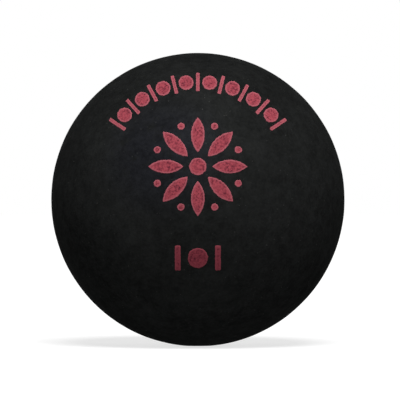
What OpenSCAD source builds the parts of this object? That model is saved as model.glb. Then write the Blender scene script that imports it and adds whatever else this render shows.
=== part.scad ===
// Squash ball: two moulded half shells of black rubber, cemented rim to rim round
// the air that they trap, and printed in red on the front.
// The ball's centre is the origin, +Z is up, and the print faces -Y.
// The seam lies in the XZ plane, and the ball stands at the seam's lowest point.

/* [Ball] */
// Outside diameter of the finished ball
ball_d = 42.5; // [40:0.5:45]
// Thickness of the rubber wall
wall = 4.4; // [3.8:0.1:5]
// How deep the ball's own weight presses its underside flat on a hard floor
rest_press = 0.12; // [0.04:0.02:0.3]

/* [Seam] */
// Thickness of the cured cement coat on each rim
coat_t = 0.1; // [0.05:0.05:0.3]
// Depth of the hairline that buffing leaves along the seam outside
hairline_depth = 0.06; // [0.02:0.02:0.2]
// Radius of the ridge of cement pressed out along the seam inside
ridge_r = 0.8; // [0.4:0.1:1.2]

/* [Printed arc] */
// Thickness of the ink film on every printed mark
ink_t = 0.04; // [0.03:0.01:0.08]
// Height of the arc's middle above the ball's middle, as an angle at the ball's centre
arc_rise_angle = 8; // [5:1:10]
// Reach of the arc from its middle, as an angle at the ball's centre
arc_reach_angle = 40; // [35:1:42]
// Number of round beads along the arc
bead_count = 8; // [4:1:10]
// Angle along the arc from one bead to the next
bead_pitch = 14; // [13:0.5:16]
// Diameter of a bead
bead_d = 2.1; // [1.6:0.1:2.3]
// Width of the reel bars between the beads
reel_w = 0.5; // [0.4:0.1:0.7]
// Height of the reel bars
reel_h = 2.7; // [2.2:0.1:3]

/* [Printed rosette] */
// Height of the rosette's middle above the ball's middle, as an angle at the ball's centre
rosette_rise_angle = 12.5; // [10:0.5:14]
// Diameter of the dot in the rosette's middle
centre_dot_d = 2.4; // [1.5:0.1:3]
// Number of petals, and of the small dots between them
petal_count = 8; // [5:1:10]
// Bare gap between the middle dot and the petals
petal_gap = 0.8; // [0.5:0.1:1]
// Length of a petal from point to point
petal_l = 4.9; // [3.5:0.1:5.2]
// Width of a petal at its middle
petal_w = 1.9; // [1:0.1:2.2]
// Diameter of the small dots between the petals
small_dot_d = 1; // [0.6:0.1:1.2]
// Distance of the small dots from the rosette's middle
small_dot_reach = 6.1; // [5.5:0.1:6.5]

/* [Printed lower mark] */
// Depth of the lower mark below the ball's middle, as an angle at the ball's centre
mark_drop_angle = 22.5; // [20:0.5:26]
// Diameter of the lower mark's dot
mark_dot_d = 2.8; // [2:0.1:3.2]
// Width of the bar on each side of that dot
mark_bar_w = 0.8; // [0.5:0.1:1.2]
// Height of those bars
mark_bar_h = 3.5; // [2.5:0.1:4]
// Bare gap between the dot and a bar
mark_gap = 1; // [0.6:0.1:1.4]

/* [Hidden] */
FRONT = -1;
REAR = 1;
rubber_black = "#1b1b1c";
cement_brown = "#33291f";
ink_red = "#a5545d";
ball_r = ball_d / 2;
cavity_r = ball_r - wall;
$fn = 180;

// The half of space on one side of the seam, starting a set distance from it.
module beyond_seam(side, start = 0) {
    size = 2 * ball_d;
    translate([0, side * (start + size / 2), 0]) cube(size, center = true);
}

// All of space above the floor that the ball stands on.
module above_floor() {
    size = 2 * ball_d;
    translate([0, 0, size / 2 + rest_press - ball_r]) cube(size, center = true);
}

// A ball that turns about the Y axis, square to the seam.
module seam_ball(r) {
    rotate([90, 0, 0]) sphere(r = r);
}

module half_shell(side) {
    color(rubber_black) intersection() {
        difference() {
            seam_ball(ball_r);
            seam_ball(cavity_r);
        }
        beyond_seam(side, coat_t);
        above_floor();
    }
}

// The coat covers the buffed rim, stops short of the outside, and ends inside in half
// of the ridge that the closing press squeezed out.
module rim_cement(side) {
    color(cement_brown) intersection() {
        union() {
            difference() {
                seam_ball(ball_r - hairline_depth);
                seam_ball(cavity_r);
                beyond_seam(side, coat_t);
            }
            intersection() {
                rotate([90, 0, 0]) rotate_extrude() translate([cavity_r, 0]) circle(r = ridge_r);
                seam_ball(cavity_r);
            }
        }
        beyond_seam(side);
        above_floor();
    }
}

// A skin of ink over the front of the ball, kept only where the flat artwork, pressed
// straight back on to the ball, covers it.
module print_on_ball() {
    color(ink_red) intersection() {
        difference() {
            sphere(r = ball_r + ink_t);
            sphere(r = ball_r);
        }
        rotate([90, 0, 0]) linear_extrude(height = ball_d) children();
    }
}

// Height in the artwork of a point that stands at an angle above the ball's middle.
function art_height(angle) = ball_r * sin(angle);

// Puts a mark on the arc, upright, a number of pitches to the right of the arc's top.
module on_arc(pitches) {
    translate([0, art_height(arc_rise_angle)])
        rotate(-pitches * bead_pitch)
            translate([0, art_height(arc_reach_angle)])
                children();
}

module arc_beads() {
    print_on_ball()
        for (i = [0 : bead_count - 1])
            on_arc(i - (bead_count - 1) / 2) circle(d = bead_d);
}

module arc_reels() {
    print_on_ball()
        for (i = [0 : bead_count])
            on_arc(i - bead_count / 2) square([reel_w, reel_h], center = true);
}

// Puts the artwork of the rosette in its place on the ball.
module on_rosette() {
    translate([0, art_height(rosette_rise_angle)]) children();
}

// A pointed oval, upright, between two arcs of one radius.
module petal() {
    half_l = petal_l / 2;
    half_w = petal_w / 2;
    arc_r = (half_l * half_l + half_w * half_w) / petal_w;
    intersection_for (side = [-1, 1])
        translate([side * (arc_r - half_w), 0]) circle(r = arc_r);
}

module rosette_centre_dot() {
    print_on_ball() on_rosette() circle(d = centre_dot_d);
}

module rosette_petals() {
    petal_reach = centre_dot_d / 2 + petal_gap + petal_l / 2;
    print_on_ball() on_rosette()
        for (i = [0 : petal_count - 1])
            rotate(i * 360 / petal_count) translate([0, petal_reach]) petal();
}

module rosette_small_dots() {
    print_on_ball() on_rosette()
        for (i = [0 : petal_count - 1])
            rotate((i + 1 / 2) * 360 / petal_count)
                translate([0, small_dot_reach]) circle(d = small_dot_d);
}

module lower_mark() {
    bar_x = mark_dot_d / 2 + mark_gap + mark_bar_w / 2;
    print_on_ball()
        translate([0, -art_height(mark_drop_angle)]) {
            circle(d = mark_dot_d);
            for (side = [-1, 1])
                translate([side * bar_x, 0]) square([mark_bar_w, mark_bar_h], center = true);
        }
}

half_shell(FRONT);  // front_half_shell
half_shell(REAR);  // rear_half_shell
rim_cement(FRONT);  // front_rim_cement
rim_cement(REAR);  // rear_rim_cement
arc_beads();
arc_reels();
rosette_centre_dot();
rosette_petals();
rosette_small_dots();
lower_mark();
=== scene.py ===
"""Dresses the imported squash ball: grained rubber half shells, the cement between their rims
and a red print on the front, on a white floor under soft studio light.

The file is laid out as an add-on. Each operator makes one group of like pieces from the
settings in the sidebar. Run as a script, it calls them all in order.
"""

import math

import bmesh
import bpy
from bpy.props import FloatProperty, FloatVectorProperty, IntProperty, PointerProperty
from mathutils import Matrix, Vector, noise


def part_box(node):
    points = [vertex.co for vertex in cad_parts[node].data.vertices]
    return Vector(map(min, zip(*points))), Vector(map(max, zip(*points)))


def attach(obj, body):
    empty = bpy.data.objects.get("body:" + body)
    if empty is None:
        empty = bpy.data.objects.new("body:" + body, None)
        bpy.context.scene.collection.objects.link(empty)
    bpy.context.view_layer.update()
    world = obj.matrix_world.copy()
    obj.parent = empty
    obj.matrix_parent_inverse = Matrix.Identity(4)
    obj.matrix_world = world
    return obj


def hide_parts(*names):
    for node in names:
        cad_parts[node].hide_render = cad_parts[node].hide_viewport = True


bl_info = {
    "name": "Squash Ball Maker",
    "version": (1, 0, 0),
    "blender": (4, 5, 0),
    "location": "3D View > Sidebar > Squash Ball",
    "description": "Makes a hollow rubber squash ball with a cemented seam and a red print",
    "category": "Add Mesh",
}

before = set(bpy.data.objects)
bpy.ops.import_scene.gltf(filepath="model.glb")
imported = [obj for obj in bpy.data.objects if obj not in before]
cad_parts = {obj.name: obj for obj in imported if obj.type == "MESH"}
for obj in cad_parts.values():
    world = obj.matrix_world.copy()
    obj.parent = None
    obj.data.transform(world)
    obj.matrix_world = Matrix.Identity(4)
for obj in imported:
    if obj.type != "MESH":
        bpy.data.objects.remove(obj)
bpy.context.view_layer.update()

MM = 0.001
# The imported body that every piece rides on
BODY = "root"
# The way that each half faces along Y
FRONT = -1
REAR = 1
# Faces that meet at a sharper angle than this keep their edge
SHARP_ANGLE = math.radians(50)
# The mesh attribute that says how far a point of ink is from the edge of its mark
FROM_EDGE = "from_edge"


def reach(node):
    """Least and greatest distance of a node's corners from the ball's middle."""
    lengths = [corner.co.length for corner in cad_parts[node].data.vertices]
    return min(lengths), max(lengths)


CAVITY_R, OUTSIDE_R = reach("front_half_shell")
INK_REACH = reach("arc_beads")[1]
FLOOR_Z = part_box("front_half_shell")[0].z
COAT_T = -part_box("front_half_shell")[1].y
HAIRLINE_DEPTH = OUTSIDE_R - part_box("front_rim_cement")[1].x
RIDGE_R = -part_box("front_rim_cement")[0].y


# Settings


def length(name, description, millimetres):
    """A setting that holds a length, with its default given in millimetres."""
    return FloatProperty(
        name=name, description=description, default=millimetres * MM, unit="LENGTH", precision=5)


def spot(name, description, millimetres):
    """A setting that holds a place in the ball's space, given in millimetres."""
    return FloatVectorProperty(
        name=name, description=description, default=[axis * MM for axis in millimetres],
        size=3, subtype="TRANSLATION", unit="LENGTH", precision=5)


def turn(name, description, degrees):
    """A setting that holds an angle, with its default given in degrees."""
    return FloatProperty(
        name=name, description=description, default=math.radians(degrees), subtype="ANGLE")


def share(name, description, default):
    """A setting that holds a share of a whole."""
    return FloatProperty(
        name=name, description=description, default=default, min=0, max=1, subtype="FACTOR")


def colour(name, description, default):
    """A setting that holds a surface colour, in linear light."""
    return FloatVectorProperty(
        name=name, description=description, default=default, size=3, min=0, max=1,
        subtype="COLOR")


def strength(name, description, default):
    """A setting that holds a light level, at which 1 shows a colour as it is written."""
    return FloatProperty(name=name, description=description, default=default, min=0)


def count(name, description, default):
    """A setting that holds a number of like things."""
    return IntProperty(name=name, description=description, default=default, min=1)


class SQUASHBALL_PG_body(bpy.types.PropertyGroup):
    """Sizes of the moulded shells, their surface and the cement between them."""

    outside_r: length("Outside radius", "Radius of the finished ball", OUTSIDE_R / MM)
    cavity_r: length("Cavity radius", "Radius of the air chamber", CAVITY_R / MM)
    floor_z: length("Rest height", "Height of the flat patch that the ball rests on", FLOOR_Z / MM)
    coat_t: length("Coat thickness", "Thickness of the cement on each rim", COAT_T / MM)
    hairline_depth: length(
        "Hairline depth", "Depth of the cement below the outside", HAIRLINE_DEPTH / MM)
    meniscus: length("Meniscus", "How far the cement dips between the rubber lips", 0.012)
    ridge_r: length("Ridge radius", "Radius of the cement pressed out inside", RIDGE_R / MM)
    ridge_lumps: count("Ridge lumps", "Number of lumps in each radian of that ridge", 14)
    lumpiness: share("Lumpiness", "How much the lumps swell and shrink the ridge", 0.18)
    lip_r: length("Lip radius", "Rounding of the rubber along the hairline", 0.07)
    buffed_w: length("Buffed width", "Reach of the buffed band on each side of the seam", 1.5)
    buffed_depth: length("Buffed depth", "Rubber that buffing took off at the seam", 0.03)
    swell_size: length("Swell size", "Size of the soft waves in the moulding", 3.4)
    swell_h: length("Swell height", "Height of those waves", 0.022)
    pebble_size: length("Pebble size", "Size of the pebbles in the surface", 0.75)
    pebble_h: length("Pebble height", "Height of those pebbles", 0.007)
    skin_cuts: count("Skin cuts", "Faces across a sixth of the outside", 128)
    lining_cuts: count("Lining cuts", "Faces across a sixth of the cavity", 48)


class SQUASHBALL_PG_print(bpy.types.PropertyGroup):
    """Sizes and places of the printed marks, as on the flat artwork."""

    ink_t: length("Ink thickness", "Thickness of the film", (INK_REACH - OUTSIDE_R) / MM)
    ink_soak: length("Ink soak", "How deep the film goes into the rubber's grain", 0.03)
    patch_size: length("Patch size", "Size of the film's thicker and thinner patches", 0.4)
    patchiness: share("Patchiness", "How much those patches change its thickness", 0.12)
    ragged_w: length("Ragged edge", "How far the film's edge wanders", 0.065)
    ragged_size: length("Ragged size", "Size of the nicks in that edge", 0.3)
    point_gap: length("Point spacing", "Gap between points round a mark", 0.06)
    arc_rise: turn("Arc rise", "Height of the arc's middle over the ball's middle", 8)
    arc_reach: turn("Arc reach", "Reach of the arc from its middle", 40)
    bead_count: count("Beads", "Number of round beads along the arc", 8)
    bead_pitch: turn("Bead pitch", "Angle along the arc from bead to bead", 14)
    bead_d: length("Bead diameter", "Diameter of a bead", 2.1)
    reel_w: length("Reel width", "Width of the bars between the beads", 0.5)
    reel_h: length("Reel height", "Height of those bars", 2.7)
    rosette_rise: turn("Rosette rise", "Height of the rosette over the ball's middle", 12.5)
    centre_dot_d: length("Middle dot", "Diameter of the dot in the rosette's middle", 2.4)
    petal_count: count("Petals", "Number of petals, and of dots between them", 8)
    petal_gap: length("Petal gap", "Bare gap between the middle dot and the petals", 0.8)
    petal_l: length("Petal length", "Length of a petal from point to point", 4.9)
    petal_w: length("Petal width", "Width of a petal at its middle", 1.9)
    small_dot_d: length("Small dots", "Diameter of the dots between the petals", 1.0)
    small_dot_reach: length("Small dot reach", "Their distance from the rosette's middle", 6.1)
    mark_drop: turn("Mark drop", "Depth of the lower mark below the ball's middle", 22.5)
    mark_dot_d: length("Mark dot", "Diameter of the lower mark's dot", 2.8)
    mark_bar_w: length("Mark bar width", "Width of the bars beside that dot", 0.8)
    mark_bar_h: length("Mark bar height", "Height of those bars", 3.5)
    mark_gap: length("Mark gap", "Bare gap between the dot and a bar", 1.0)
    bar_rounding: share("Bar rounding", "Radius of a bar's corners as a share of its width", 0.2)


class SQUASHBALL_PG_finish(bpy.types.PropertyGroup):
    """Colours of the rubber, the cement and the ink."""

    rubber: colour("Rubber", "Colour of the rubber", (0.0085, 0.0089, 0.0106))
    rubber_worn: colour("Dull rubber", "Colour of its paler clouds", (0.0228, 0.0239, 0.0284))
    # Outside the bluish patch the rubber takes this tint. The patch is partly a bloom on the
    # rubber and partly a painted highlight, where the key light's highlight falls on the front.
    clean: colour(
        "Clean rubber", "What it lets through where it has no bluish bloom", (0.97, 0.97, 0.80))
    buffed: colour(
        "Buffed rubber", "Colour of the band buffed along the seam", (0.0260, 0.0268, 0.0272))
    dust: colour("Dust", "Colour of the specks of dust", (0.060, 0.060, 0.057))
    rubber_sheen: share("Rubber sheen", "Share of the rubber's surface that shines", 0.1)
    cement: colour("Cement", "Colour of the cement", (0.0100, 0.0086, 0.0072))
    cement_pale: colour("Thin cement", "Colour where the cement is thin", (0.0180, 0.0148, 0.0120))
    ink: colour("Ink", "Colour of the red ink", (0.430, 0.074, 0.098))
    ink_thick: colour("Thick ink", "Colour where the ink is thick", (0.455, 0.112, 0.140))
    ink_thin: colour("Thin ink", "Colour where the rubber shows through", (0.085, 0.013, 0.026))


class SQUASHBALL_PG_pattern(bpy.types.PropertyGroup):
    """Sizes and shares of the patterns in the rubber, the cement and the ink."""

    cloud_size: length("Cloud size", "Size of the widest clouds in the rubber's colour", 9)
    cloud_share: share("Cloud share", "Share of those clouds in what makes it paler", 0.25)
    mottle_size: length("Mottle size", "Size of the mottling on those clouds", 1.5)
    mottle_share: share("Mottle share", "Share of the mottling in what makes it paler", 0.45)
    fine_mottle_size: length("Fine mottle size", "Size of the finest mottling", 0.4)
    fine_mottle_share: share("Fine mottle share", "Share of the finest mottling", 0.3)
    # The bluish patch is partly a bloom on the rubber and partly a painted highlight, placed where
    # the key light's highlight falls on the front.
    bloom_highlight_spot: spot("Bloom spot", "Middle of the patch of bluish bloom", (-5, -19.5, 6.5))
    bloom_highlight_full_r: length("Full bloom", "How far from there the bloom is unbroken", 3)
    bloom_highlight_end_r: length("Bloom end", "How far from there the bloom reaches", 11)
    fleck_size: length("Fleck size", "Size of the clean flecks in the bloom", 2.2)
    dust_size: length("Dust size", "Size of the specks of dust", 0.28)
    dull_size: length("Dull patch size", "Size of the duller patches of rubber", 2.8)
    pore_size: length("Pore size", "Size of the pores in the rubber", 0.6)
    pore_depth: length("Pore depth", "Depth of those pores", 0.045)
    grain_size: length("Grain size", "Size of the rubber's grain, which the ink shows too", 0.2)
    grain_depth: length("Grain depth", "Depth of the grain in bare rubber", 0.03)
    inked_grain_depth: length("Inked grain depth", "Depth of the grain through the ink", 0.02)
    band_wave_size: length("Band wave size", "Size of the waves in the buffed band's edge", 1.8)
    band_wave_h: length("Band wave height", "Height of those waves", 0.8)
    band_fade_in: length("Band fade", "How far inside its edge the band starts to fade", 0.4)
    band_fade_out: length("Band end", "How far outside its edge the band has gone", 0.3)
    streak_w: length("Streak width", "Width of the pale streaks in the buffed band", 0.14)
    line_w: length("Line width", "Width of the grinding lines in the buffed band", 0.1)
    line_depth: length("Line depth", "Depth of those lines", 0.02)
    thin_size: length("Thin patch size", "Size of the thin patches of cement", 1.3)
    cement_dull_size: length("Dull cement size", "Size of its duller patches", 0.8)
    cement_grain_size: length("Cement grain size", "Size of the cement's grain", 0.4)
    cement_grain_depth: length("Cement grain depth", "Depth of that grain", 0.015)
    thick_edge_w: length("Thick edge", "How far from a mark's edge the ink stays thick", 0.1)
    thin_from: length("Thin from", "How far from a mark's edge the ink is thin", 0.3)
    blotch_size: length("Blotch size", "Size of the worn blotches in the ink", 1.1)
    speckle_size: length("Speckle size", "Size of the worn speckle in the ink", 0.3)
    pit_depth: length("Pit depth", "Depth of the pits where the ink is worn", 0.02)
    # The ink gets darker towards the bottom of the ball, between these two heights
    darkening_top: length("Fade top", "Height at which the ink starts to fade", -2.5)
    darkening_foot: length("Fade foot", "Height below which it is all faded", -7.5)
    darker_edge_loss: share("Faded edge", "How much of the thick edge has gone where it is faded", 0.7)
    darker_thinning: share("Faded wear", "Even wear of the ink where it is faded", 0.4)
    darker_speckle: share("Faded speckle", "How much of the other wear shows there too", 0.5)


class SQUASHBALL_PG_studio(bpy.types.PropertyGroup):
    """Camera and light."""

    camera_gap: length("Camera gap", "Distance of the camera from the ball's middle", 500)
    key_rise: turn("Key rise", "Height of the key light over the floor", 56)
    key_turn: turn("Key turn", "How far the key light stands to the right", 7)
    key_width: turn("Key width", "Width of the key light as the ball sees it", 30)
    key_light: strength("Key light", "Light on a surface that faces the key", 0.97)
    front_rise: turn("Front rise", "Height of the wide front light", 25)
    front_turn: turn("Front turn", "How far the front light stands to the right", 12)
    front_width: turn("Front width", "Width of the front light as the ball sees it", 90)
    front_light: strength("Front light", "Light on a surface that faces the front light", 0.03)
    back_rise: turn("Back rise", "Height of the pair of lights behind the ball", 15)
    back_turn: turn("Back turn", "How far they stand to the right and left of the front", 130)
    back_width: turn("Back width", "Width of each as the ball sees it", 40)
    back_light: strength("Back light", "Light on a surface that faces one of them", 0.28)
    surround: strength("Surround", "Even light from all round", 0.03)
    floor_w: length("Floor width", "Width of the square floor", 8000)
    floor_light: strength("Floor light", "Light that the floor itself sends up to the ball", 0.28)
    floor_paint: share("Floor paint", "Shade of the floor as the ball sees it", 0.06)
    floor_white: share("Floor white", "Shade of the floor as the camera sees it", 0.4)
    floor_glow: share("Floor glow", "What the camera's floor has added, to be white", 0.72)


# Steps that the pieces share


def smooth_step(share_done):
    """Eases a share from 0 to 1."""
    kept = min(1.0, max(0.0, share_done))
    return kept * kept * (3 - 2 * kept)


def turned(distance, angle):
    """The artwork's point at a distance and at an angle clockwise from straight up."""
    return Vector((distance * math.sin(angle), distance * math.cos(angle)))


def skin_height(direction, body):
    """How far the rubber stands off its true sphere, along a unit direction."""
    from_seam = abs(direction.y) * body.outside_r - body.coat_t
    moulded = smooth_step(from_seam / body.buffed_w)
    place = direction * body.outside_r
    waves = noise.noise(place / body.swell_size) * body.swell_h
    pebbles = noise.noise(place / body.pebble_size) * body.pebble_h
    return moulded * (waves + pebbles) - (1 - moulded) * body.buffed_depth


def on_skin(direction, body, off=0.0):
    """The point that stands off the rubber along a direction, pressed flat at the floor."""
    point = direction * (body.outside_r + skin_height(direction, body) + off)
    point.z = max(point.z, body.floor_z)
    return point


def finish_piece(bm, name, material, node):
    """Turns a mesh under construction into the piece that stands for a node."""
    bmesh.ops.recalc_face_normals(bm, faces=bm.faces)
    mesh = bpy.data.meshes.new(name)
    bm.to_mesh(mesh)
    bm.free()
    mesh.materials.append(material)
    mesh.shade_smooth()
    mesh.set_sharp_from_angle(angle=SHARP_ANGLE)
    piece = bpy.data.objects.new(name, mesh)
    bpy.context.scene.collection.objects.link(piece)
    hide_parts(node)
    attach(piece, BODY)


def skin_rings(bm, rings, joined=False):
    """Lays quads between each closed ring of vertices and the next."""
    pairs = list(zip(rings, rings[1:]))
    if joined:
        pairs.append((rings[-1], rings[0]))
    for ring, next_ring in pairs:
        for i, vertex in enumerate(ring):
            j = (i + 1) % len(ring)
            bm.faces.new((vertex, ring[j], next_ring[j], next_ring[i]))


# The moulded half shells


def blow_dome(side, cuts, place):
    """Half a cube's skin, cut into a grid and blown out to a dome that is open at the seam."""
    bm = bmesh.new()
    bmesh.ops.create_cube(bm, size=2)
    bmesh.ops.subdivide_edges(bm, edges=bm.edges[:], cuts=cuts - 1, use_grid_fill=True)
    half_cell = 1 / cuts
    beyond = [vertex for vertex in bm.verts if vertex.co.y * side < -half_cell]
    bmesh.ops.delete(bm, geom=beyond, context="VERTS")
    for vertex in bm.verts:
        # The tangents make the cells nearly alike in size once they are blown out
        even = Vector(math.tan(axis * math.pi / 4) for axis in vertex.co)
        vertex.co = place(even.normalized())
    return bm


def set_open_edge(bm, side, ring_r, depth, floor_z):
    """Puts a dome's open edge on one ring round the seam, flat where it meets the floor."""
    for vertex in bm.verts:
        if vertex.is_boundary:
            round_seam = Vector((vertex.co.x, 0, vertex.co.z)).normalized()
            vertex.co = round_seam * ring_r + Vector((0, side * depth, 0))
            vertex.co.z = max(vertex.co.z, floor_z)


def roll_lip(bm, side, body):
    """Carries a dome's open edge round the rubber's lip, from the outside to the rim."""
    steps = 4
    start_depth = body.coat_t + body.lip_r
    start_r = math.sqrt(body.outside_r**2 - start_depth**2) - body.buffed_depth
    set_open_edge(bm, side, start_r, start_depth, body.floor_z)
    for step in range(1, steps + 1):
        angle = math.pi / 2 * step / steps
        open_edges = [edge for edge in bm.edges if edge.is_boundary]
        bmesh.ops.extrude_edge_only(bm, edges=open_edges)
        ring_r = start_r - body.lip_r * (1 - math.cos(angle))
        depth = start_depth - body.lip_r * math.sin(angle)
        set_open_edge(bm, side, ring_r, depth, body.floor_z)


def line_cavity(side, body):
    """The dome inside the half shell, with its open edge on the rim."""
    lining = blow_dome(side, body.lining_cuts, lambda way: way * body.cavity_r)
    ring_r = math.sqrt(body.cavity_r**2 - body.coat_t**2)
    set_open_edge(lining, side, ring_r, body.coat_t, body.floor_z)
    return lining


def pour_in(bm, other):
    """Moves all of another mesh under construction into this one."""
    carrier = bpy.data.meshes.new("carrier")
    other.to_mesh(carrier)
    other.free()
    bm.from_mesh(carrier)
    bpy.data.meshes.remove(carrier)


def turn_round_seam(vertex):
    """The angle at which a vertex stands round the seam's axis, from straight up."""
    return math.atan2(vertex.co.x, vertex.co.z)


def face_rim(bm, outer, inner):
    """Fills the flat rim between two rings of unlike counts, walking both round together."""
    rings = [sorted(ring, key=turn_round_seam) for ring in (outer, inner)]
    steps = [0, 0]

    def stand(which, ahead=0):
        laps, place = divmod(steps[which] + ahead, len(rings[which]))
        return rings[which][place], laps

    def next_turn(which):
        vertex, laps = stand(which, 1)
        return turn_round_seam(vertex) + laps * 2 * math.pi

    while steps[0] < len(outer) or steps[1] < len(inner):
        outer_next = steps[0] < len(outer) and next_turn(0) <= next_turn(1)
        which = 0 if outer_next or steps[1] == len(inner) else 1
        bm.faces.new((stand(0)[0], stand(which, 1)[0], stand(1)[0]))
        steps[which] += 1


def mould_half_shell(side, body):
    """One half shell: skin, rounded lip, flat rim and lining."""
    bm = blow_dome(side, body.skin_cuts, lambda way: on_skin(way, body))
    roll_lip(bm, side, body)
    pour_in(bm, line_cavity(side, body))
    open_edge = [vertex for vertex in bm.verts if vertex.is_boundary]
    middle_r = (body.outside_r + body.cavity_r) / 2
    outer = [vertex for vertex in open_edge if vertex.co.length > middle_r]
    inner = [vertex for vertex in open_edge if vertex.co.length < middle_r]
    face_rim(bm, outer, inner)
    return bm


# The cement between the rims

# Where the dip in the cement has a corner, as a share of the way from the seam to the rubber,
# and the share of the dip's depth that is left there
DIP_SHARE = 0.6
# Where the wall of the cavity has corners, as shares of the way from the seam to the ridge's foot
WALL_SHARES = (0.35, 0.7)


def cement_profile(body):
    """Corners of one coat's section, as (distance from the seam's axis, depth from the seam)."""
    flat_steps = 4
    ridge_steps = 10
    top_r = body.outside_r - body.hairline_depth
    dip, coat_t = body.meniscus, body.coat_t
    outer = [(top_r - dip, 0), (top_r - dip * DIP_SHARE, coat_t * DIP_SHARE), (top_r, coat_t)]
    rim_w = top_r - body.cavity_r
    across = [body.cavity_r + rim_w * step / flat_steps for step in range(flat_steps)]
    flank = [(ring_r, coat_t) for ring_r in reversed(across)]
    mating = [(ring_r, 0) for ring_r in across]

    foot_angle = math.acos(body.ridge_r / (2 * body.cavity_r))
    foot_depth = body.ridge_r * math.sin(foot_angle)
    wall_depths = [wall_share * foot_depth for wall_share in WALL_SHARES]
    wall = [(math.sqrt(body.cavity_r**2 - depth**2), depth) for depth in wall_depths]
    ridge = []
    for step in range(ridge_steps + 1):
        angle = foot_angle * (1 - step / ridge_steps)
        inward = body.ridge_r * math.cos(angle)
        ridge.append((body.cavity_r - inward, body.ridge_r * math.sin(angle)))
    return outer + flank + wall + ridge + mating


def spread_cement(side, body):
    """One coat of cement, a ring whose inner edge swells into half of a lumpy ridge."""
    bm = bmesh.new()
    steps = 360
    rings = []
    for ring_r, depth in cement_profile(body):
        ring = []
        for step in range(steps):
            angle = 2 * math.pi * step / steps
            way = Vector((math.sin(angle), 0, math.cos(angle)))
            lump = body.lumpiness * noise.noise(way * body.ridge_lumps)
            inward = max(0.0, body.cavity_r - ring_r)
            point = way * (ring_r - inward * lump) + Vector((0, side * depth, 0))
            point.z = max(point.z, body.floor_z)
            ring.append(bm.verts.new(point))
        rings.append(ring)
    skin_rings(bm, rings, joined=True)
    return bm


# The printed ink

# The fewest points round a mark
FEWEST_POINTS = 16
# The nicks in a mark's edge have finer ones on them, this many times as small
NICK_FINENESS = 2.3
# The depth of the finer nicks, as a share of the others'
FINE_NICK_SHARE = 0.5
# Rings over the top of a film, as shares of the way to its edge and of the ink's thickness
TOP_RING_SHARES = (
    (0.25, 0.9),
    (0.5, 0.9),
    (0.68, 0.9),
    (0.8, 0.95),
    (0.88, 1.0),
    (0.94, 0.9),
    (0.98, 0.6),
)
# Rings under it, as shares of the way to its edge and of how deep the ink goes in
UNDER_RING_SHARES = ((1.0, 0.0), (0.98, -1.0), (0.6, -1.0), (0.25, -1.0))


def disc_outline(diameter):
    """A round mark, as points of the flat artwork about its own middle."""
    steps = 48
    return [turned(diameter / 2, 2 * math.pi * step / steps) for step in range(steps)]


def bar_outline(width, height, rounding):
    """An upright bar with softly rounded corners."""
    steps = 6
    corner_r = rounding * width
    points = []
    for quarter, (right, up) in enumerate(((1, 1), (1, -1), (-1, -1), (-1, 1))):
        corner = Vector((right * (width / 2 - corner_r), up * (height / 2 - corner_r)))
        for step in range(steps + 1):
            points.append(corner + turned(corner_r, math.pi / 2 * (quarter + step / steps)))
    return points


def petal_outline(petal_length, petal_width):
    """An upright pointed oval between two arcs of one radius."""
    steps = 24
    half_l, half_w = petal_length / 2, petal_width / 2
    arc_r = (half_l**2 + half_w**2) / petal_width
    half_angle = math.asin(half_l / arc_r)
    points = []
    for side in (1, -1):
        for step in range(steps):
            angle = half_angle * (2 * step / steps - 1)
            across = arc_r * math.cos(angle) - (arc_r - half_w)
            points.append(Vector((side * across, -side * arc_r * math.sin(angle))))
    return points


def spaced(points, gap):
    """The same closed outline with its points evenly spaced, about a gap apart."""
    ends = points[1:] + points[:1]
    whole = sum((end - start).length for start, end in zip(points, ends))
    total = max(FEWEST_POINTS, round(whole / gap))
    result, walked, next_mark = [], 0.0, 0
    for start, end in zip(points, ends):
        side = (end - start).length
        while next_mark < total and whole * next_mark / total < walked + side:
            result.append(start.lerp(end, (whole * next_mark / total - walked) / side))
            next_mark += 1
        walked += side
    return result


def edge_gap(point, outline):
    """How far a point inside an outline is from its nearest edge point."""
    return min((point - edge).length for edge in outline)


def ragged_edge(points, middle, angle, art):
    """A mark's outline where it stands on the flat artwork, with nicks in it."""
    x_way, y_way = turned(1, angle + math.pi / 2), turned(1, angle)
    edge = []
    for point in points:
        flat = middle + x_way * point.x + y_way * point.y
        cell = flat.to_3d() / art.ragged_size
        wander = noise.noise(cell) + FINE_NICK_SHARE * noise.noise(cell * NICK_FINENESS)
        edge.append(flat + (flat - middle).normalized() * wander * art.ragged_w)
    return edge


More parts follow.
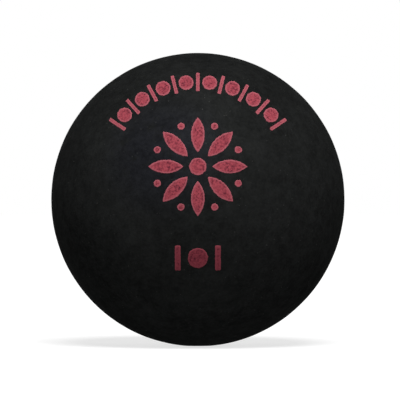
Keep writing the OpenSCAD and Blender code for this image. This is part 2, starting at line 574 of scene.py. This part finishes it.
def print_marks(bm, outline, places, body, art):
    """Lays one film of ink on the ball for each (middle, angle) on the flat artwork."""
    gaps = bm.verts.layers.float.get(FROM_EDGE) or bm.verts.layers.float.new(FROM_EDGE)
    points = spaced(outline, art.point_gap)
    ring_shares = TOP_RING_SHARES + UNDER_RING_SHARES
    top_rise = art.ink_t * TOP_RING_SHARES[0][1]
    middle_gap = edge_gap(Vector((0, 0)), points)
    gap_at = {
        share_out: [edge_gap(point * share_out, points) for point in points]
        for share_out, _ in ring_shares
    }

    def film_point(flat, rise, gap):
        depth = math.sqrt(body.outside_r**2 - flat.length_squared)
        way = Vector((flat.x, -depth, flat.y)) / body.outside_r
        vertex = bm.verts.new(on_skin(way, body, rise))
        vertex[gaps] = gap
        return vertex

    def film_ring(middle, edge, share_out, rise_share):
        ring = []
        for point, gap in zip(edge, gap_at[share_out]):
            flat = middle.lerp(point, share_out)
            patchy = 1 + art.patchiness * noise.noise(flat.to_3d() / art.patch_size)
            rise = art.ink_t * patchy if rise_share > 0 else art.ink_soak
            ring.append(film_point(flat, rise * rise_share, gap))
        return ring

    for middle, angle in places:
        edge = ragged_edge(points, middle, angle, art)
        rings = [film_ring(middle, edge, *shares) for shares in ring_shares]
        skin_rings(bm, rings)
        for ring, rise in ((rings[0], top_rise), (rings[-1], -art.ink_soak)):
            hub = film_point(middle, rise, middle_gap)
            for i, vertex in enumerate(ring):
                bm.faces.new((vertex, ring[(i + 1) % len(ring)], hub))


def art_height(angle, body):
    """Height in the artwork of a point that stands at an angle above the ball's middle."""
    return body.outside_r * math.sin(angle)


def arc_places(first, total, body, art):
    """Places of marks that stand along the arc, one pitch apart and turned with it."""
    middle = Vector((0, art_height(art.arc_rise, body)))
    arc_r = art_height(art.arc_reach, body)
    angles = [(first + i) * art.bead_pitch for i in range(total)]
    return [(middle + turned(arc_r, angle), angle) for angle in angles]


def round_rosette(distance, first, body, art):
    """Places round the rosette's middle, one for each petal, from a share of a pitch on."""
    middle = Vector((0, art_height(art.rosette_rise, body)))
    angles = [(first + i) * 2 * math.pi / art.petal_count for i in range(art.petal_count)]
    return [(middle + turned(distance, angle), angle) for angle in angles]


# Finishes


class Recipe:
    """A material under construction, whose patterns lie in the ball's own space."""

    def __init__(self, name, gloss):
        self.material = bpy.data.materials.new(name)
        self.material.use_nodes = True
        self.tree = self.material.node_tree
        self.shader = self.tree.nodes["Principled BSDF"]
        self.shader.inputs["Specular IOR Level"].default_value = gloss
        self.place = self.add("ShaderNodeTexCoord").outputs["Object"]

    def feed(self, socket, value):
        """Gives a socket another node's output, or a plain number, vector or colour."""
        if isinstance(value, bpy.types.NodeSocket):
            self.tree.links.new(value, socket)
        elif socket.type == "RGBA":
            socket.default_value = (*value, 1)
        else:
            socket.default_value = value

    def add(self, kind, values=None, **settings):
        """A new node with these settings, and with these values fed to its inputs."""
        node = self.tree.nodes.new(kind)
        for name, setting in settings.items():
            setattr(node, name, setting)
        for key, value in (values or {}).items():
            self.feed(node.inputs[key], value)
        return node

    def clouds(self, size, detail=2.0, roughness=0.5, shift=0.0, drawn_out=1.0):
        """Soft noise of about 0 to 1, in patches of this size.

        They can be drawn out along the seam, to a number of times that size. A shift in
        millimetres takes them from elsewhere in the noise, so that no two patterns agree.
        """
        in_mm = 1 / MM
        drawn = in_mm / drawn_out
        shifted = self.add(
            "ShaderNodeVectorMath", {0: self.place, 1: (drawn, in_mm, drawn), 2: (shift,) * 3},
            operation="MULTIPLY_ADD")
        cloudy = self.add("ShaderNodeTexNoise", {
            "Vector": shifted.outputs[0],
            "Scale": MM / size,
            "Detail": detail,
            "Roughness": roughness,
        })
        return cloudy.outputs["Fac"]

    def spread(self, value, low=0.3, high=0.7, to_low=0.0, to_high=1.0):
        """Stretches the values from low to high on to another range, eased at both ends."""
        ends = {"From Min": low, "From Max": high, "To Min": to_low, "To Max": to_high}
        node = self.add(
            "ShaderNodeMapRange", {"Value": value, **ends}, interpolation_type="SMOOTHSTEP")
        return node.outputs["Result"]

    def maths(self, operation, first, second=0.0):
        """One step of arithmetic on two values, each an output or a number."""
        return self.add("ShaderNodeMath", {0: first, 1: second}, operation=operation).outputs[0]

    def weighed(self, *pairs):
        """The sum of some values, each times the share that it comes with."""
        parts = [self.maths("MULTIPLY", value, share_in) for value, share_in in pairs]
        total = parts[0]
        for part in parts[1:]:
            total = self.maths("ADD", total, part)
        return total

    def blend(self, factor, first, second, mode="MIX"):
        """Goes from the first colour to the second, or to what a mode makes of both."""
        # A Mix node's colours are on sockets 6 and 7, and its mixed colour is on output 2
        node = self.add(
            "ShaderNodeMix", {"Factor": factor, 6: first, 7: second},
            data_type="RGBA", blend_type=mode)
        return node.outputs[2]

    def along(self, axis):
        """How far a point stands along an axis of the ball."""
        return self.add("ShaderNodeSeparateXYZ", {0: self.place}).outputs[axis]

    def away_from(self, middle):
        """How far a point stands from a place in the ball's space."""
        node = self.add("ShaderNodeVectorMath", {0: self.place, 1: middle}, operation="DISTANCE")
        return node.outputs["Value"]

    def relief(self, *layers):
        """Raises the surface by layers of (height from 0 to 1, depth), each over the last."""
        below = {}
        for height, depth in layers:
            node = self.add(
                "ShaderNodeBump", {"Height": height, "Distance": depth, "Strength": 1, **below})
            below = {"Normal": node.outputs["Normal"]}
        return below["Normal"]

    def finished(self, base, roughness, normal):
        """The material, with these three outputs on its shader."""
        for name, output in (("Base Color", base), ("Roughness", roughness), ("Normal", normal)):
            self.feed(self.shader.inputs[name], output)
        return self.material


def buffing(recipe, scene):
    """1 on the band that was buffed along the seam, and 0 beyond its uneven edge."""
    body, pattern = scene.squash_ball_body, scene.squash_ball_pattern
    from_seam = recipe.maths("ABSOLUTE", recipe.along("Y"))
    waves = recipe.clouds(pattern.band_wave_size, detail=3, shift=67)
    uneven = recipe.maths("MULTIPLY", waves, pattern.band_wave_h)
    return recipe.spread(
        recipe.maths("ADD", from_seam, uneven), low=body.buffed_w - pattern.band_fade_in,
        high=body.buffed_w + pattern.band_fade_out, to_low=1, to_high=0)


def rubber_colour(recipe, scene, band):
    """Black rubber, clouded, with a bluish patch that is partly bloom and partly a painted
    highlight, and a few specks of dust.
    """
    finish, pattern = scene.squash_ball_finish, scene.squash_ball_pattern
    clouds = recipe.clouds(pattern.cloud_size, detail=3)
    mottling = recipe.clouds(pattern.mottle_size, detail=5, roughness=0.7, shift=31)
    finest = recipe.clouds(pattern.fine_mottle_size, detail=3, roughness=0.7, shift=61)
    paler = recipe.weighed(
        (recipe.spread(clouds), pattern.cloud_share),
        (recipe.spread(mottling), pattern.mottle_share),
        (recipe.spread(finest), pattern.fine_mottle_share))
    base = recipe.blend(paler, finish.rubber, finish.rubber_worn)

    # A bluish, slightly paler patch above and left of the print's middle: partly bloom, partly a
    # painted highlight where the key light's highlight falls.
    from_bloom_highlight = recipe.away_from(pattern.bloom_highlight_spot)
    beyond_bloom_highlight = recipe.spread(from_bloom_highlight, pattern.bloom_highlight_full_r, pattern.bloom_highlight_end_r)
    flecks = recipe.clouds(pattern.fleck_size, detail=5, roughness=0.75, shift=53)
    clean = recipe.maths("MAXIMUM", beyond_bloom_highlight, recipe.spread(flecks, low=0.46, high=0.74))
    base = recipe.blend(clean, base, finish.clean, mode="MULTIPLY")

    streaks = recipe.clouds(pattern.streak_w, detail=3, shift=23, drawn_out=14)
    scuffed = recipe.spread(streaks, low=0.35, high=0.65, to_low=0.25)
    base = recipe.blend(recipe.maths("MULTIPLY", band, scuffed), base, finish.buffed)
    dust = recipe.clouds(pattern.dust_size, detail=1, shift=11)
    return recipe.blend(recipe.spread(dust, low=0.75, high=0.8), base, finish.dust)


def rubber_finish(scene):
    """Matte moulded rubber with pores and a fine grain, and grinding lines along the seam."""
    finish, pattern = scene.squash_ball_finish, scene.squash_ball_pattern
    recipe = Recipe("moulded_rubber", gloss=0)
    # A metal's soft shine, with none at a glancing angle, keeps the ball's rim dark
    recipe.shader.inputs["Metallic"].default_value = finish.rubber_sheen
    recipe.shader.inputs["Specular Tint"].default_value = (0, 0, 0, 1)
    band = buffing(recipe, scene)
    dull = recipe.clouds(pattern.dull_size, detail=4, roughness=0.6, shift=5)
    pores = recipe.clouds(pattern.pore_size, detail=3, roughness=0.6, shift=19)
    grain = recipe.clouds(pattern.grain_size, detail=3, roughness=0.65)
    lines = recipe.clouds(pattern.line_w, detail=2, shift=29, drawn_out=20)
    ground = recipe.maths("MULTIPLY", lines, band)
    relief = recipe.relief(
        (pores, pattern.pore_depth), (grain, pattern.grain_depth), (ground, pattern.line_depth))
    roughness = recipe.spread(dull, to_low=0.44, to_high=0.54)
    return recipe.finished(rubber_colour(recipe, scene, band), roughness, relief)


def cement_finish(scene):
    """Cured rubber solution, blackish brown and nearly matte, paler where it is thin."""
    finish, pattern = scene.squash_ball_finish, scene.squash_ball_pattern
    recipe = Recipe("cured_cement", gloss=0.02)
    thin = recipe.clouds(pattern.thin_size, detail=4, roughness=0.6)
    dull = recipe.clouds(pattern.cement_dull_size, detail=3)
    grain = recipe.clouds(pattern.cement_grain_size, detail=3)
    base = recipe.blend(
        recipe.spread(thin, low=0.4, high=0.75), finish.cement, finish.cement_pale)
    roughness = recipe.spread(dull, to_low=0.7, to_high=0.9)
    return recipe.finished(base, roughness, recipe.relief((grain, pattern.cement_grain_depth)))


def ink_finish(scene):
    """Thin crimson ink: thick along the edge of each mark, and speckled and blotched within.

    Towards the bottom of the ball it is darker, with less of the thick edge and more of the rubber
    showing.
    """
    finish, pattern = scene.squash_ball_finish, scene.squash_ball_pattern
    recipe = Recipe("printed_ink", gloss=0.05)
    from_edge = recipe.add("ShaderNodeAttribute", attribute_name=FROM_EDGE).outputs["Fac"]
    within = recipe.spread(from_edge, pattern.thick_edge_w, pattern.thin_from)
    blotches = recipe.clouds(pattern.blotch_size, detail=3, shift=3)
    blotched = recipe.spread(blotches, low=0.35, high=0.65)
    speckle = recipe.clouds(pattern.speckle_size, detail=3, roughness=0.7, shift=41)
    worn = recipe.maths(
        "MULTIPLY", recipe.spread(speckle, low=0.38, high=0.66),
        recipe.spread(blotched, 0, 1, to_low=0.45, to_high=0.95))
    worn = recipe.maths("MULTIPLY", worn, recipe.spread(within, 0, 1, to_low=0.25))

    # Darker towards the bottom of the ball: less of the thick edge and more of the rubber shows
    darker = recipe.spread(
        recipe.along("Z"), low=pattern.darkening_foot, high=pattern.darkening_top, to_low=1, to_high=0)
    edge_gone = recipe.maths("MULTIPLY", darker, pattern.darker_edge_loss)
    within = recipe.maths("MAXIMUM", within, edge_gone)
    thinned = recipe.weighed((darker, pattern.darker_thinning), (worn, pattern.darker_speckle))
    worn = recipe.maths("MAXIMUM", worn, thinned)
    base = recipe.blend(within, finish.ink_thick, finish.ink)
    base = recipe.blend(worn, base, finish.ink_thin)
    kept = recipe.maths("SUBTRACT", 1.0, worn)
    grain = recipe.clouds(pattern.grain_size, detail=3, roughness=0.65)
    relief = recipe.relief((kept, pattern.pit_depth), (grain, pattern.inked_grain_depth))
    return recipe.finished(base, recipe.spread(worn, 0, 1, to_low=0.7, to_high=0.85), relief)


def finish_named(name, make):
    """The material of that name, made on its first use."""
    return bpy.data.materials.get(name) or make(bpy.context.scene)


# Operators


class MakesPieces:
    """What the operators that make pieces share."""

    bl_options = {"REGISTER", "UNDO"}

    def ink_piece(self, context, name, node, *groups):
        """One piece of ink for a node, from (outline, places) groups."""
        bm = bmesh.new()
        body, art = context.scene.squash_ball_body, context.scene.squash_ball_print
        for outline, places in groups:
            print_marks(bm, outline, places, body, art)
        finish_piece(bm, name, finish_named("printed_ink", ink_finish), node)


class SQUASHBALL_OT_mould_shells(MakesPieces, bpy.types.Operator):
    """Mould the two half shells, with their grain, lips, rims and linings"""

    bl_idname = "squash_ball.mould_shells"
    bl_label = "Mould Half Shells"

    def execute(self, context):
        rubber = finish_named("moulded_rubber", rubber_finish)
        for side, half in ((FRONT, "front"), (REAR, "rear")):
            bm = mould_half_shell(side, context.scene.squash_ball_body)
            finish_piece(bm, f"moulded_{half}_shell", rubber, f"{half}_half_shell")
        return {"FINISHED"}


class SQUASHBALL_OT_spread_cement(MakesPieces, bpy.types.Operator):
    """Spread the coat of cement on each rim, with the ridge pressed out inside"""

    bl_idname = "squash_ball.spread_cement"
    bl_label = "Spread Rim Cement"

    def execute(self, context):
        cement = finish_named("cured_cement", cement_finish)
        for side, half in ((FRONT, "front"), (REAR, "rear")):
            bm = spread_cement(side, context.scene.squash_ball_body)
            finish_piece(bm, f"{half}_cement_coat", cement, f"{half}_rim_cement")
        return {"FINISHED"}


class SQUASHBALL_OT_print_arc(MakesPieces, bpy.types.Operator):
    """Print the arc's round beads and the reel bars between them"""

    bl_idname = "squash_ball.print_arc"
    bl_label = "Print Arc"

    def execute(self, context):
        body, art = context.scene.squash_ball_body, context.scene.squash_ball_print
        bead = disc_outline(art.bead_d)
        reel = bar_outline(art.reel_w, art.reel_h, art.bar_rounding)
        beads = arc_places((1 - art.bead_count) / 2, art.bead_count, body, art)
        reels = arc_places(-art.bead_count / 2, art.bead_count + 1, body, art)
        self.ink_piece(context, "ink_arc_beads", "arc_beads", (bead, beads))
        self.ink_piece(context, "ink_arc_reels", "arc_reels", (reel, reels))
        return {"FINISHED"}


class SQUASHBALL_OT_print_rosette(MakesPieces, bpy.types.Operator):
    """Print the rosette's middle dot, its petals and the small dots between them"""

    bl_idname = "squash_ball.print_rosette"
    bl_label = "Print Rosette"

    def execute(self, context):
        body, art = context.scene.squash_ball_body, context.scene.squash_ball_print
        petal_reach = art.centre_dot_d / 2 + art.petal_gap + art.petal_l / 2
        middle = round_rosette(0, 0, body, art)[:1]
        petals = round_rosette(petal_reach, 0, body, art)
        dots = round_rosette(art.small_dot_reach, 0.5, body, art)
        self.ink_piece(
            context, "ink_rosette_dot", "rosette_centre_dot",
            (disc_outline(art.centre_dot_d), middle))
        self.ink_piece(
            context, "ink_rosette_petals", "rosette_petals",
            (petal_outline(art.petal_l, art.petal_w), petals))
        self.ink_piece(
            context, "ink_rosette_small_dots", "rosette_small_dots",
            (disc_outline(art.small_dot_d), dots))
        return {"FINISHED"}


class SQUASHBALL_OT_print_lower_mark(MakesPieces, bpy.types.Operator):
    """Print the dot and the two bars below the ball's middle"""

    bl_idname = "squash_ball.print_lower_mark"
    bl_label = "Print Lower Mark"

    def execute(self, context):
        body, art = context.scene.squash_ball_body, context.scene.squash_ball_print
        middle = Vector((0, -art_height(art.mark_drop, body)))
        bar_x = art.mark_dot_d / 2 + art.mark_gap + art.mark_bar_w / 2
        bar = bar_outline(art.mark_bar_w, art.mark_bar_h, art.bar_rounding)
        bars = [(middle + Vector((side * bar_x, 0)), 0) for side in (-1, 1)]
        self.ink_piece(
            context, "ink_lower_mark", "lower_mark",
            (disc_outline(art.mark_dot_d), [(middle, 0)]), (bar, bars))
        return {"FINISHED"}


# The studio

PHOTO_SIDE_PX = 400
BALL_CENTRE_PX = (197.9, 199.65)
BALL_RADIUS_PX = 146.75


def aim_camera(body, studio):
    """A level camera at the front that frames the ball as the photograph does."""
    middle_px = PHOTO_SIDE_PX / 2
    px = body.outside_r / BALL_RADIUS_PX
    right = (middle_px - BALL_CENTRE_PX[0]) * px
    up = (BALL_CENTRE_PX[1] - middle_px) * px
    ball_slope = math.tan(math.asin(body.outside_r / studio.camera_gap))
    half_view_slope = ball_slope * middle_px / BALL_RADIUS_PX
    lens_data = bpy.data.cameras.new("camera")
    lens_data.lens = lens_data.sensor_width / 2 / half_view_slope
    camera = bpy.data.objects.new("camera", lens_data)
    camera.location = (right, -studio.camera_gap, up)
    camera.rotation_euler = (math.pi / 2, 0, 0)
    bpy.context.scene.collection.objects.link(camera)
    bpy.context.scene.camera = camera


def hang_light(name, rise, turn_right, width, level):
    """A far soft light, by its height over the floor and how far it stands to the right."""
    light = bpy.data.lights.new(name, "SUN")
    light.angle = width
    # At a strength of pi, a surface that faces the light shows its written colour
    light.energy = level * math.pi
    lamp = bpy.data.objects.new(name, light)
    ahead = Vector((math.sin(turn_right), -math.cos(turn_right), 0))
    way = ahead * math.cos(rise) + Vector((0, 0, math.sin(rise)))
    lamp.rotation_mode = "QUATERNION"
    lamp.rotation_quaternion = way.to_track_quat("Z", "Y")
    bpy.context.scene.collection.objects.link(lamp)


def seen_straight(tree):
    """1 for rays from the camera, from gloss and through glass, and 0 for all others."""
    path = tree.nodes.new("ShaderNodeLightPath")
    factor = path.outputs["Is Camera Ray"]
    for name in ("Is Glossy Ray", "Is Transmission Ray"):
        either = tree.nodes.new("ShaderNodeMath")
        either.operation = "MAXIMUM"
        tree.links.new(factor, either.inputs[0])
        tree.links.new(path.outputs[name], either.inputs[1])
        factor = either.outputs[0]
    return factor


def set_levels(tree, seen, to_ball, to_camera, socket):
    """Gives a socket one level for the light on the ball, and another for what is seen."""
    level = tree.nodes.new("ShaderNodeMix")
    level.inputs["A"].default_value = to_ball
    level.inputs["B"].default_value = to_camera
    tree.links.new(seen, level.inputs["Factor"])
    tree.links.new(level.outputs["Result"], socket)


def white_surround(studio):
    """A world that shows white and lights the ball evenly and dimly."""
    world = bpy.data.worlds.new("surround")
    world.use_nodes = True
    bpy.context.scene.world = world
    tree = world.node_tree
    background = tree.nodes["Background"]
    background.inputs["Color"].default_value = (1, 1, 1, 1)
    set_levels(tree, seen_straight(tree), studio.surround, 1, background.inputs["Strength"])


def floor_finish(studio):
    """A paint that shows white and takes shadows, and sends only a dim light to the ball."""
    material = bpy.data.materials.new("white_floor")
    material.use_nodes = True
    tree = material.node_tree
    shader = tree.nodes["Principled BSDF"]
    shader.inputs["Roughness"].default_value = 1
    shader.inputs["Specular IOR Level"].default_value = 0
    shader.inputs["Emission Color"].default_value = (1, 1, 1, 1)
    seen = seen_straight(tree)
    paint, glow = shader.inputs["Base Color"], shader.inputs["Emission Strength"]
    set_levels(tree, seen, studio.floor_paint, studio.floor_white, paint)
    set_levels(tree, seen, studio.floor_light, studio.floor_glow, glow)
    return material


def lay_floor(body, studio):
    """A square white floor under the ball."""
    half = studio.floor_w / 2
    bm = bmesh.new()
    corners = ((-half, -half), (half, -half), (half, half), (-half, half))
    bm.faces.new([bm.verts.new((x, y, body.floor_z)) for x, y in corners])
    mesh = bpy.data.meshes.new("floor")
    bm.to_mesh(mesh)
    bm.free()
    mesh.materials.append(floor_finish(studio))
    floor = bpy.data.objects.new("floor", mesh)
    bpy.context.scene.collection.objects.link(floor)


class SQUASHBALL_OT_set_studio(bpy.types.Operator):
    """Set up the camera, the white floor and surround, and the soft lights"""

    bl_idname = "squash_ball.set_studio"
    bl_label = "Set Up Studio"
    bl_options = {"REGISTER", "UNDO"}

    def execute(self, context):
        body, studio = context.scene.squash_ball_body, context.scene.squash_ball_studio
        context.scene.view_settings.view_transform = "Standard"
        aim_camera(body, studio)
        white_surround(studio)
        lay_floor(body, studio)
        hang_light(
            "key_light", studio.key_rise, studio.key_turn, studio.key_width, studio.key_light)
        hang_light(
            "front_light", studio.front_rise, studio.front_turn, studio.front_width,
            studio.front_light)
        for side, name in ((1, "right_back_light"), (-1, "left_back_light")):
            hang_light(
                name, studio.back_rise, side * studio.back_turn, studio.back_width,
                studio.back_light)
        return {"FINISHED"}


class SQUASHBALL_PT_maker(bpy.types.Panel):
    """Squash ball, piece by piece"""

    bl_idname = "SQUASHBALL_PT_maker"
    bl_label = "Squash Ball"
    bl_space_type = "VIEW_3D"
    bl_region_type = "UI"
    bl_category = "Squash Ball"

    def draw(self, context):
        for operator in OPERATORS:
            self.layout.operator(operator.bl_idname)
        for name in SETTINGS:
            settings = getattr(context.scene, name)
            box = self.layout.box()
            for key in settings.bl_rna.properties.keys():
                if key not in ("rna_type", "name"):
                    box.prop(settings, key)


OPERATORS = (
    SQUASHBALL_OT_mould_shells,
    SQUASHBALL_OT_spread_cement,
    SQUASHBALL_OT_print_arc,
    SQUASHBALL_OT_print_rosette,
    SQUASHBALL_OT_print_lower_mark,
    SQUASHBALL_OT_set_studio,
)
SETTINGS = {
    "squash_ball_body": SQUASHBALL_PG_body,
    "squash_ball_print": SQUASHBALL_PG_print,
    "squash_ball_finish": SQUASHBALL_PG_finish,
    "squash_ball_pattern": SQUASHBALL_PG_pattern,
    "squash_ball_studio": SQUASHBALL_PG_studio,
}


def register():
    """Registers the settings, the operators and the panel."""
    for cls in (*SETTINGS.values(), *OPERATORS, SQUASHBALL_PT_maker):
        bpy.utils.register_class(cls)
    for name, group in SETTINGS.items():
        setattr(bpy.types.Scene, name, PointerProperty(type=group))


def unregister():
    """Takes out what register put in, in the opposite order."""
    for name in SETTINGS:
        delattr(bpy.types.Scene, name)
    for cls in (SQUASHBALL_PT_maker, *reversed(OPERATORS), *reversed(SETTINGS.values())):
        bpy.utils.unregister_class(cls)


def main():
    """Registers the add-on, and makes every piece and the studio."""
    register()
    bpy.ops.squash_ball.mould_shells()
    bpy.ops.squash_ball.spread_cement()
    bpy.ops.squash_ball.print_arc()
    bpy.ops.squash_ball.print_rosette()
    bpy.ops.squash_ball.print_lower_mark()
    bpy.ops.squash_ball.set_studio()


if __name__ == "__main__":
    main()
